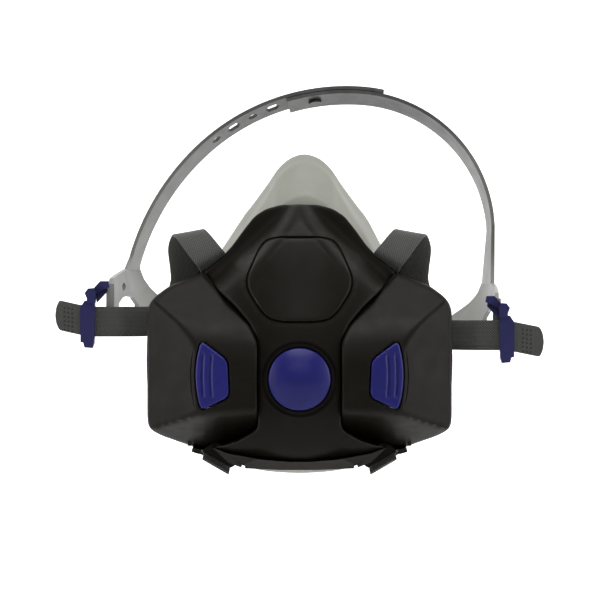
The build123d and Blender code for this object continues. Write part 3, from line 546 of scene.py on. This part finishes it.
def both_halves(half):
    """Closed outline from its right half."""
    return [*half, *[(-x, z) for x, z in reversed(half)]]


def flipped(points, side):
    return [(side * x, z) for x, z in points]


LINE = np.array(spline([(z, y) for z, y in COVER_LINE], 12))


def cover_height(x, z):
    """Crowned front of the cover, with the steep skirt beside the badge."""
    y = float(np.interp(z, LINE[:, 0], LINE[:, 1])) + x * x / (2 * CROWN_R)
    ax = abs(x)
    for px, py, pz, nx, ny, nz in COVER_SKIRTS:
        skirt = py - (nx * (ax - px) + nz * (z - pz)) / ny
        y = smooth_max(y, skirt, 5.0)
    return -smooth_max(-y, -RIM_FRONT, 3.0)


WING_NEAR, WING_FRONT, WING_RAKE = 18, -65.2, 0.173     # inner edge of a wing, its depth there, and its slope
CREASE_X, CREASE_FRONT = 44, -60.5                      # vertical crease and its depth


def wing_height(side):
    """Faceted front of a wing, with soft creases."""
    def height(x, z):
        ax = x * side
        inner = WING_FRONT + WING_RAKE * (ax - WING_NEAR)
        outer = CREASE_FRONT + 0.85 * (ax - CREASE_X)
        top = CREASE_FRONT + 0.9 * z + 0.1 * (ax - CREASE_X)
        bottom = CREASE_FRONT - 2.25 * (z + 32) + 0.09 * (ax - CREASE_X)
        body = smooth_max(smooth_max(inner, top, 9.0), bottom, 3.5)
        return smooth_max(body, outer, 1.3)
    return height


# ================================================================ front cover and badge
badge_line = soften(both_halves(BADGE_OUTLINE), 3.0)
cover_line = soften(both_halves(COVER_HALF_OUTLINE), 1.0, 2)
GROOVE = 0.45
POCKET = 1.3
badge_outer = [tuple(p) for p in inset_loop(resample(badge_line, 1.0), -GROOVE)]
badge_lip = [tuple(p) for p in inset_loop(resample(badge_line, 1.0), -GROOVE - 0.45)]
DISH_R = 16.4


def cover_front(x, z):
    """Cover surface with the badge pocket and the shallow dish round the test button."""
    y = cover_height(x, z)
    p = np.array([(x, z)])
    if abs(x) < 26 and 5 < z < 47:
        near = distance(badge_outer, p)[0]
        if near < 0.03 or inside(badge_outer, p)[0]:
            y += POCKET
        elif near < 0.44:
            y += 0.25
    r = math.hypot(x, z - BUTTON_Z)
    if r < DISH_R:
        y += 0.9 * (1 - max(0.0, (r - DISH_R + 1.2) / 1.2)) if r > DISH_R - 1.2 else 0.9
    return y


front_cover = shell(
    "front_cover_shell", cover_line, cover_front, lambda x, z: COVER_BACK, step=1.5, edge=1.3,
    holes=[circle(0, BUTTON_Z, TEST_R + 0.35, 72)],
    features=[badge_outer, badge_lip, circle(0, BUTTON_Z, DISH_R, 72), circle(0, BUTTON_Z, DISH_R - 1.2, 72)])
paint(front_cover, BLACK)

BADGE_TOP = -0.35


def badge_place(x, z, depth):
    return (x, cover_height(x, z) + BADGE_TOP + depth, z)


front_badge = plate("front_badge_insert", badge_line, badge_place, POCKET - BADGE_TOP - 0.1, step=1.3, edge=0.9)
paint(front_badge, BADGE)

# ================================================================ wings
wing_line = soften(WING_OUTLINE, 1.6, 3)


def wing(side):
    """Shell of a wing with its button opening and port."""
    outline = flipped(wing_line, side)
    hole = soften(flipped(RELEASE_OUTLINE, side), 1.4)
    hole = [tuple(p) for p in inset_loop(resample(hole, 1.0), -0.55)]
    split = resample(outline, 1.0)
    obj = shell(f"wing_{side}", split, wing_height(side),
                lambda x, z: BOX_BACK if side * x > BOX_INNER else COVER_BACK, step=1.4, edge=1.5, holes=[hole],
                rim=0.5, lean=lambda x, z: 0.7 if side * x < 42.8 else 0.0)
    # Back wall and inner wall of the port box.
    rear = [p for p in wing_line if p[0] > BOX_INNER]
    order = sorted(rear, key=lambda p: math.atan2(p[1] + 10, p[0] - BOX_INNER - 6))
    top = max(p[1] for p in rear)
    low = min(p[1] for p in rear)
    loop = [(BOX_INNER, low + 0.2), *order, (BOX_INNER, top - 0.2)]
    back = plate(f"wing_back_{side}", flipped(loop, side), lambda x, z, d: (x, BOX_BACK - d, z), 2.0, step=3.0,
                 edge=1.0)
    inner = plate(f"wing_inner_{side}", [(BOX_BACK, low + 0.5), (BOX_BACK, top - 0.5), (COVER_BACK - 1, top - 0.5),
                                         (COVER_BACK - 1, low + 0.5)],
                  lambda y, z, d: (side * (BOX_INNER + d), y, z), 1.8, step=4.0, edge=0.3)
    joined = join(f"wing_joined_{side}", [obj, back, inner])
    return joined


def tube_x(name, side, radius, x0, x1, inner=None, n=72):
    """Closed cylinder or ring along X on the port axis."""
    y0, z0, _ = PORT
    rows = [(x0, radius), (x1, radius)]
    if inner:
        rows += [(x1, inner), (x0, inner)]
    points, faces = [], []
    for x, r in rows:
        points += [(side * x, y0 + r * cos(2 * pi * k / n), z0 + r * sin(2 * pi * k / n)) for k in range(n)]
    count = len(rows)
    for i in range(count if inner else count - 1):
        for k in range(n):
            j = (k + 1) % n
            faces.append((i * n + k, i * n + j, ((i + 1) % count) * n + j, ((i + 1) % count) * n + k))
    if not inner:
        faces += [tuple(range(n)), tuple(range(n, 2 * n))]
    return finish_mesh(name, points, faces)


BUTTON_FRONT = -65.6
BUTTON_DEPTH = 14.0
GRIP_GROOVES = (41.9, 38.3)

for name, side in SIDES:
    body = wing(side)
    drill = tube_x(f"drill_{name}", side, PORT[2], 55.0, 74.0)
    modifier = body.modifiers.new("Port", "BOOLEAN")
    modifier.operation = "DIFFERENCE"
    modifier.object = drill
    modifier.solver = "EXACT"
    graph = bpy.context.evaluated_depsgraph_get()
    mesh = bpy.data.meshes.new_from_object(body.evaluated_get(graph))
    body.modifiers.clear()
    body.data = mesh
    bpy.data.objects.remove(drill)
    collar = tube_x(f"collar_{name}", side, PORT[2] + 1.8, 57.0, 67.0, inner=PORT[2])
    housing = join(f"{name}_wing_shell", [body, collar])
    tidy_normals(housing)
    paint(housing, BLACK)
    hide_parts(f"{name}_port_housing", f"{name}_wing_front")
    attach(housing, "root")

    # Release button: follows the wing, with two bowed grip grooves.
    line = soften(flipped(RELEASE_OUTLINE, side), 1.4)

    def grooves(x, z, side=side):
        bow = 0.9 * ((z + 15.3) / 12.0) ** 2
        ends = max(0.0, min(1.0, (10.2 - abs(z + 15.3)) / 1.6))
        cut = 0.0
        for at in GRIP_GROOVES:
            near = abs(side * x - at + bow) / 0.75
            cut = max(cut, max(0.0, 1 - near ** 2))
        return 0.75 * cut * ends

    def button_place(x, z, depth, side=side):
        lean = 0.03 * (37.0 - side * x)
        return (x, BUTTON_FRONT + WING_RAKE * (side * x - WING_NEAR) - lean + depth, z)

    button = plate(f"{name}_release_cap", line, button_place, BUTTON_DEPTH, step=0.7, edge=0.9, relief=grooves)
    paint(button, BLUE)
    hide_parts(f"{name}_release_button")
    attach(button, f"{name}_release")

# Lugs at the chin, under the ends of the neck strap.
LUG_OUTLINE = ((36.0, -45.0), (41.5, -47.5), (43.6, -51.0), (37.0, -55.8), (30.5, -57.4), (25.5, -53.0), (29.0, -48.0))
LUG_FRONT = -32.2
GUIDE_FRONT = -25.6
UPPER_LUG = ((36.0, 29.0), (40.0, 25.0), (45.0, 28.2), (45.3, 31.0), (42.6, 34.0), (38.0, 34.5))
lugs = [plate(f"guide_{name}", soften(flipped(UPPER_LUG, side), 1.0), lambda x, z, d: (x, GUIDE_FRONT + d, z), 2.0,
              step=1.5, edge=0.5) for name, side in SIDES]
lugs += [plate(f"lug_{name}", soften(flipped(LUG_OUTLINE, side), 1.2), lambda x, z, d: (x, LUG_FRONT + d, z), 3.4,
              step=1.5, edge=0.6) for name, side in SIDES]
front_cover = join("front_cover_shell", [front_cover, *lugs])
paint(front_cover, BLACK)
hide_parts("front_cover")
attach(front_cover, "root")
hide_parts("front_badge")
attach(front_badge, "root")

# ================================================================ test button
DOME_FRONT, DOME_R, DOME_DEPTH = -69.0, 12.6, 3.9
dome = [(0.0, DOME_FRONT)]
for k in range(1, 13):
    t = k / 12
    dome.append((DOME_R * t, DOME_FRONT + DOME_DEPTH * t ** 2.1))
dome += [(13.0, -64.85), (13.25, -64.45), (13.35, -63.9), (13.35, -57.5), (11.75, -57.5), (11.75, -63.2), (0.0, -63.2)]
test_button = lathe("test_button_dome", dome, (0, BUTTON_Z))
paint(test_button, BLUE)
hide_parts("test_button")
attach(test_button, "test_press")

# ================================================================ face seal
SEAL_SHAPE = (
    (0.42, 0.012), (0.66, 0.05), (0.85, 0.125), (1.00, 0.29), (0.985, 0.45),
    (0.87, 0.61), (0.665, 0.735), (0.495, 0.82), (0.355, 0.896), (0.27, 0.946), (0.15, 0.984),
)
SEAL_SECTIONS = ((-30.0, 42.5, -52.5, 60.0), (-16.0, 44.8, -58.5, 78.6), (-2.0, 46.8, -60.5, 87.4),
                 (14.0, 47.8, -60.0, 88.0))
RIM_LINE = ((-75, -5), (-58, -3), (-30, 6), (8, 9), (45, 3), (78, -9), (100, -11))


NOSE_LEAN = 2.2            # the nose stands slightly to the right


def seal_ring(y):
    """Outline of the seal at a depth, as an even closed curve from chin to nose and back."""
    depth, half, low, high = (np.array(c) for c in zip(*SEAL_SECTIONS))
    half, low, high = (float(np.interp(y, depth, c)) for c in (half, low, high))
    right = [(half * u, low + (high - low) * v) for u, v in SEAL_SHAPE]
    chin = (0.0, low)
    nose = (0.0, high)
    left = [(-x, z) for x, z in reversed(right)]
    control = [left[-1], chin, *right, nose, *left, chin, right[0]]
    curve = np.array(spline(control, 14))
    first = 14
    return curve[first:first + 14 * (2 * len(SEAL_SHAPE) + 2)]


def rim_depth(z):
    zs, ys = zip(*RIM_LINE)
    return float(np.interp(z, zs, ys))


def build_seal():
    """Silicone cup: flange, flared wall, rolled rim and the turned-in lip."""
    reference = seal_ring(0.0)
    rows = []
    wall = [i / 16 for i in range(17)]
    for share in wall:
        ring = []
        for k, (x, z) in enumerate(reference):
            end = rim_depth(z) - 1.2
            y = COVER_BACK + 0.1 + (end - COVER_BACK) * share
            px, pz = seal_ring_cached(y)[k]
            flare = 1 + 0.012 * max(0.0, share - 0.8) * 5
            lean = NOSE_LEAN * min(1.0, max(0.0, (pz - 20) / 32))
            ring.append((px * flare + lean, y, (pz - 8) * flare + 8))
        rows.append(ring)
    middle = [(0.0, y, 4.0) for _, y, _ in rows[0]]
    flange = [tuple(p + (m - p) * 0.16 for p, m in zip(a, b)) for a, b in zip(rows[0], middle)]
    rows.insert(0, flange)
    last = rows[-1]
    for turn, inward, back in ((0.35, 0.35, 0.75), (0.7, 1.1, 1.2), (1.0, 2.4, 1.25), (1.3, 4.6, 0.6), (1.6, 7.2, -0.9),
                               (1.9, 9.2, -2.6)):
        ring = []
        for x, y, z in last:
            dx, dz = x, z - 8
            length = math.hypot(dx, dz)
            ring.append((x - dx / length * inward, y + back, z - dz / length * inward))
        rows.append(ring)
    n = len(reference)
    points = [p for ring in rows for p in ring]
    faces = []
    for i in range(len(rows) - 1):
        for k in range(n):
            j = (k + 1) % n
            faces.append((i * n + k, i * n + j, (i + 1) * n + j, (i + 1) * n + k))
    obj = finish_mesh("face_seal_cup", points, faces, sharp=70)
    apply_modifier(obj, "SOLIDIFY", thickness=1.9 * MM, offset=-1, use_rim=True)
    tidy_normals(obj, 60)
    return obj


RING_CACHE = {}


def seal_ring_cached(y):
    key = round(y, 1)
    if key not in RING_CACHE:
        RING_CACHE[key] = seal_ring(key)
    return RING_CACHE[key]


face_seal = build_seal()
paint(face_seal, SILICONE)
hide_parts("face_seal")
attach(face_seal, "root")


# ================================================================ webbing
WEB_WIDTH = 13.5
WEB_THICK = 1.15


def ribbon(name, stations, n=8):
    """Flat woven strap through stations of (centre, direction across)."""
    path = spline([c for c, _ in stations], n)
    turns = spline([a for _, a in stations], n)
    section = [(-1, 0.0), (-0.985, 0.32), (-0.94, 0.5), (-0.5, 0.5), (0, 0.5), (0.5, 0.5), (0.94, 0.5), (0.985, 0.32),
               (1, 0.0), (0.985, -0.32), (0.94, -0.5), (0.5, -0.5), (0, -0.5), (-0.5, -0.5), (-0.94, -0.5),
               (-0.985, -0.32)]
    points, uvs, faces = [], [], []
    run = 0.0
    for i, p in enumerate(path):
        if i:
            run += float(np.linalg.norm(p - path[i - 1]))
        along = path[min(i + 1, len(path) - 1)] - path[max(i - 1, 0)]
        along /= np.linalg.norm(along)
        across = turns[i] / np.linalg.norm(turns[i])
        normal = np.cross(along, across)
        normal /= np.linalg.norm(normal)
        for u, v in section:
            points.append(tuple(p + across * (u * WEB_WIDTH / 2) + normal * (v * WEB_THICK)))
            uvs.append((u * WEB_WIDTH / 200 + 0.5, run * 0.01))
    m = len(section)
    for i in range(len(path) - 1):
        for k in range(m):
            j = (k + 1) % m
            faces.append((i * m + k, i * m + j, (i + 1) * m + j, (i + 1) * m + k))
    faces += [tuple(range(m)), tuple(range((len(path) - 1) * m, len(path) * m))]
    obj = finish_mesh(name, points, faces, sharp=80, uvs=uvs)
    paint(obj, WEB)
    return obj


BUCKLE_X = {"left": 91.8, "right": 89.8}
BUCKLE_Z = {"left": 7.5, "right": 1.4}
STRAP_Y = -11.4
TAIL_END = {"left": (109.0, 10.4), "right": (109.0, -1.6)}
CLASP_Y = 110.0
CLASP_Z = -42.0


def face_stations(side, name):
    z = BUCKLE_Z[name]
    stations = (
        ((37.4, -21.8, 31.4), (0.87, -0.49)), ((38.0, -26.7, 32.9), (0.87, -0.49)),
        ((38.9, -30.8, 35.0), (0.87, -0.49)), ((41.5, -30.4, 38.2), (0.88, -0.47)),
        ((46.6, -25.5, 44.6), (0.94, -0.34)), ((48.9, -21.8, 46.9), (0.97, -0.22)),
        ((50.6, -18.2, 46.2), (0.99, -0.12)), ((52.3, -12.5, 40.0), (1.0, 0.0)),
        ((51.6, -8.0, 31.0), (1.0, 0.02)), ((51.6, -5.4, 25.0), (1.0, 0.1)),
        ((54.5, -4.0, 16.0), (0.80, 0.60)), ((61.0, -3.6, z + 2.0), (0.35, 0.94)),
        ((67.0, -4.2, z + 0.3), (0.0, 1.0)), ((72.0, -6.4, z), (0.0, 1.0)),
        ((78.0, -10.4, z), (0.0, 1.0)), ((83.0, STRAP_Y, z), (0.0, 1.0)),
        ((BUCKLE_X[name] + 0.25, STRAP_Y, z), (0.0, 1.0)),
    )
    return [((side * x, y, h), (side * u, 0, w)) for (x, y, h), (u, w) in stations]


def neck_stations(side):
    stations = (
        ((36.9, -35.4, -55.9), (0.87, 0.50)), ((36.6, -33.2, -54.2), (0.87, 0.50)),
        ((36.9, -30.0, -52.9), (0.87, 0.50)), ((38.2, -26.7, -52.6), (0.87, 0.50)),
        ((40.5, -20.0, -52.4), (0.85, 0.53)), ((43.0, -8.0, -48.5), (0.60, 0.80)),
        ((45.6, 6.0, -43.0), (0.25, 0.97)), ((48.0, 30.0, -38.0), (0.0, 1.0)),
        ((48.0, 58.0, -38.0), (0.0, 1.0)), ((42.0, 84.0, -40.0), (0.0, 1.0)),
        ((32.0, 100.0, -41.5), (0.0, 1.0)), ((22.8, 107.0, CLASP_Z), (0.0, 1.0)),
        ((20.5, CLASP_Y - 1.6, CLASP_Z), (0.0, 1.0)),
    )
    return [((side * x, y, h), (side * u, 0, w)) for (x, y, h), (u, w) in stations]


def tail_place(side, start):
    def place(x, z, depth):
        return (side * x, STRAP_Y - 0.03 * (x - start) + 0.6 - depth, z)
    return place


DOT_R = 0.5
PIT_PLACE = {"left": (3.6, -1.2), "right": (5.3, -0.2)}
# Dark colour for the pits in the strap tail: painted shade in the recesses.
PIT_SHADE = moulded("tail_pit_shade", (0.010, 0.010, 0.010), (0.018, 0.018, 0.018), 0.8)
for name, side in SIDES:
    z = BUCKLE_Z[name]
    strap = ribbon(f"{name}_face_webbing", face_stations(side, name))
    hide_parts(f"{name}_face_strap")
    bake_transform(strap)
    neck = ribbon(f"{name}_neck_webbing", neck_stations(side), n=10)
    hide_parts(f"{name}_neck_strap")
    if side < 0:
        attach(neck, "root")
    else:
        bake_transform(neck)
    start = BUCKLE_X[name]
    end_x, end_z = TAIL_END[name]
    slope = (end_z - z) / (end_x - start)
    half = WEB_WIDTH / 2
    tail_line = [(start + 0.3, z - half), (start + 7.0, z - half + slope * 5), (end_x - 1.2, end_z - half),
                 (end_x + 0.2, end_z - half * 0.55), (end_x + 0.7, end_z), (end_x + 0.2, end_z + half * 0.55),
                 (end_x - 1.2, end_z + half), (start + 7.0, z + half + slope * 5), (start + 0.3, z + half)]
    inset, lift = PIT_PLACE[name]
    middles = [(end_x - inset - 1.75 * i, end_z + lift + (j - 2.5) * 1.95 - slope * (2.4 + 1.75 * i))
               for i in range(3) for j in range(6)]
    dots = [circle(x, h, DOT_R, 10) for x, h in middles]

    def pits(x, h, middles=middles):
        near = min(math.hypot(x - a, h - b) for a, b in middles)
        return 0.45 if near < DOT_R * 0.9 else 0.0

    tail = plate(f"{name}_tail_webbing", soften(tail_line, 0.6, 2), tail_place(side, start), WEB_THICK, step=0.9, edge=0.3,
                 features=dots, relief=lambda x, h, f=pits: -f(x, h))
    paint(tail, WEB)
    # Faces in the pits take the painted shade.
    tail.data.materials.append(PIT_SHADE)
    for face in tail.data.polygons:
        x, h = side * face.center.x / MM, face.center.z / MM
        if min(math.hypot(x - a, h - b) for a, b in middles) < DOT_R * 1.02:
            face.material_index = 1
    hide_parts(f"{name}_strap_tail")
    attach(tail, "cradle_left" if side < 0 else "cradle_right")

# ================================================================ springs
def coil(name, wire, turns):
    """Compression spring between the ends of its CAD node."""
    low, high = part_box(name)
    x, z = (low[0] + high[0]) / 2 / MM, (low[2] + high[2]) / 2 / MM
    radius = (high[0] - low[0]) / 2 / MM - wire
    start, end = low[1] / MM + wire, high[1] / MM - wire
    count, m = int(turns * 28), 10
    points, faces = [], []
    for i in range(count + 1):
        angle = 2 * pi * turns * i / count
        y = start + (end - start) * i / count
        for k in range(m):
            t = 2 * pi * k / m
            r = radius + wire * cos(t)
            points.append((x + r * cos(angle), y + wire * sin(t), z + r * sin(angle)))
    for i in range(count):
        for k in range(m):
            j = (k + 1) % m
            faces.append((i * m + k, i * m + j, (i + 1) * m + j, (i + 1) * m + k))
    faces += [tuple(range(m)), tuple(range(count * m, (count + 1) * m))]
    obj = finish_mesh(f"{name}_coil", points, faces, sharp=80)
    paint(obj, STEEL)
    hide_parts(name)
    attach(obj, "root")
    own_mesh(obj)


coil("test_spring", 0.5, 4.5)
for name, side in SIDES:
    coil(f"{name}_release_spring", 0.3, 4.5)

# ================================================================ CAD nodes that keep their shape
KEPT = {
    "valve_body": INNER, "test_plunger": INNER, "shutter_plate": INNER, "exhalation_cover": BLACK,
    "exhalation_valve": RUBBER, "size_stud": CRADLE, "neck_clasp_hook": BLACK,
    "neck_clasp_loop": BLACK,
}
for name, side in SIDES:
    KEPT.update({
        f"{name}_shutter_pad": PAD, f"{name}_inhalation_valve": RUBBER, f"{name}_port_gasket": PAD,
        f"{name}_latch": INNER, f"{name}_buckle": BUCKLE_BLUE,
        f"{name}_cradle_arm": CRADLE,
    })
for node, material in KEPT.items():
    obj = bpy.data.objects[node]
    paint(obj, material)
    bevel = obj.modifiers.new("Bevel", "BEVEL")
    bevel.width = 0.3 * MM
    bevel.segments = 2
    bevel.limit_method = "ANGLE"
    bevel.angle_limit = radians(40)

# ================================================================ stage, light and camera
FLOOR_Z = -0.17
SWEEP_START, SWEEP_RADIUS = 0.55, 0.6


WORLD = 0.24
SPREAD = 120
LIGHTS = (             # name, place, target, size, watts
    ("top_softbox", (0.0, -0.35, 1.0), (0, -0.02, 0.01), (0.9, 0.5), 3.8),
    ("front_softbox", (0.0, -1.3, 0.75), (0, -0.02, 0.01), (0.9, 0.5), 1.0),
    ("left_softbox", (-1.0, -0.25, 0.2), (0, 0, 0), (0.4, 0.8), 2.0),
    ("right_softbox", (1.0, -0.25, 0.2), (0, 0, 0), (0.4, 0.8), 2.0),
)
GLOW = 1.0


def sweep():
    """Pale floor that curves up into a backdrop, and glows more towards the back as painted light."""
    profile = [(-4.0, FLOOR_Z), (SWEEP_START, FLOOR_Z)]
    profile += [(SWEEP_START + SWEEP_RADIUS * sin(a), FLOOR_Z + SWEEP_RADIUS * (1 - cos(a)))
                for a in np.linspace(0.1, pi / 2, 16)]
    profile.append((SWEEP_START + SWEEP_RADIUS, 3.0))
    points, faces = [], []
    for y, z in profile:
        points += [(-4000, y * 1000, z * 1000), (4000, y * 1000, z * 1000)]
    for i in range(len(profile) - 1):
        faces.append((2 * i, 2 * i + 1, 2 * i + 3, 2 * i + 2))
    obj = finish_mesh("floor_sweep", points, faces)
    s = Shade("pale_floor")
    tone = s.ramp(s.noise(3, 2), ((0.3, (0.80, 0.80, 0.80)), (0.7, (0.82, 0.82, 0.82))))
    split = s.node("ShaderNodeSeparateXYZ")
    s.link(s.where, split.inputs[0])
    # Painted light: the floor glows, from none in front of the object to full strength at the backdrop, standing in for
    # lamps on the backdrop.
    lift = s.range(split.outputs[1], 0.12, 0.40, 0.0, GLOW)
    s.shader.inputs["Emission Color"].default_value = (1.0, 1.0, 1.0, 1.0)
    paint(obj, s.set(Base_Color=tone, Roughness=0.9, Specular_IOR_Level=0.1, Emission_Strength=lift))


sweep()
scene = bpy.context.scene
scene.view_settings.view_transform = "Standard"
world = bpy.data.worlds.new("soft_world")
scene.world = world
world.use_nodes = True
world.node_tree.nodes["Background"].inputs[0].default_value = (1.0, 1.0, 1.0, 1.0)
world.node_tree.nodes["Background"].inputs[1].default_value = WORLD


def area_light(name, place, target, size, power):
    light = bpy.data.lights.new(name, "AREA")
    light.shape = "RECTANGLE"
    light.size, light.size_y = size
    light.energy = power
    light.spread = radians(SPREAD)
    obj = bpy.data.objects.new(name, light)
    obj.location = place
    obj.rotation_euler = (Vector(target) - Vector(place)).to_track_quat("-Z", "Y").to_euler()
    scene.collection.objects.link(obj)


for light in LIGHTS:
    area_light(*light)

CAMERA_DISTANCE = 1.10
FRAME_WIDTH = 0.258
camera_data = bpy.data.cameras.new("camera")
camera_data.sensor_width = 36.0
camera_data.lens = 36.0 * CAMERA_DISTANCE / FRAME_WIDTH
camera = bpy.data.objects.new("camera", camera_data)
camera.location = (0.0002, -0.060 - CAMERA_DISTANCE, 0.0172)
camera.rotation_euler = (pi / 2, 0, 0)
scene.collection.objects.link(camera)
scene.camera = camera
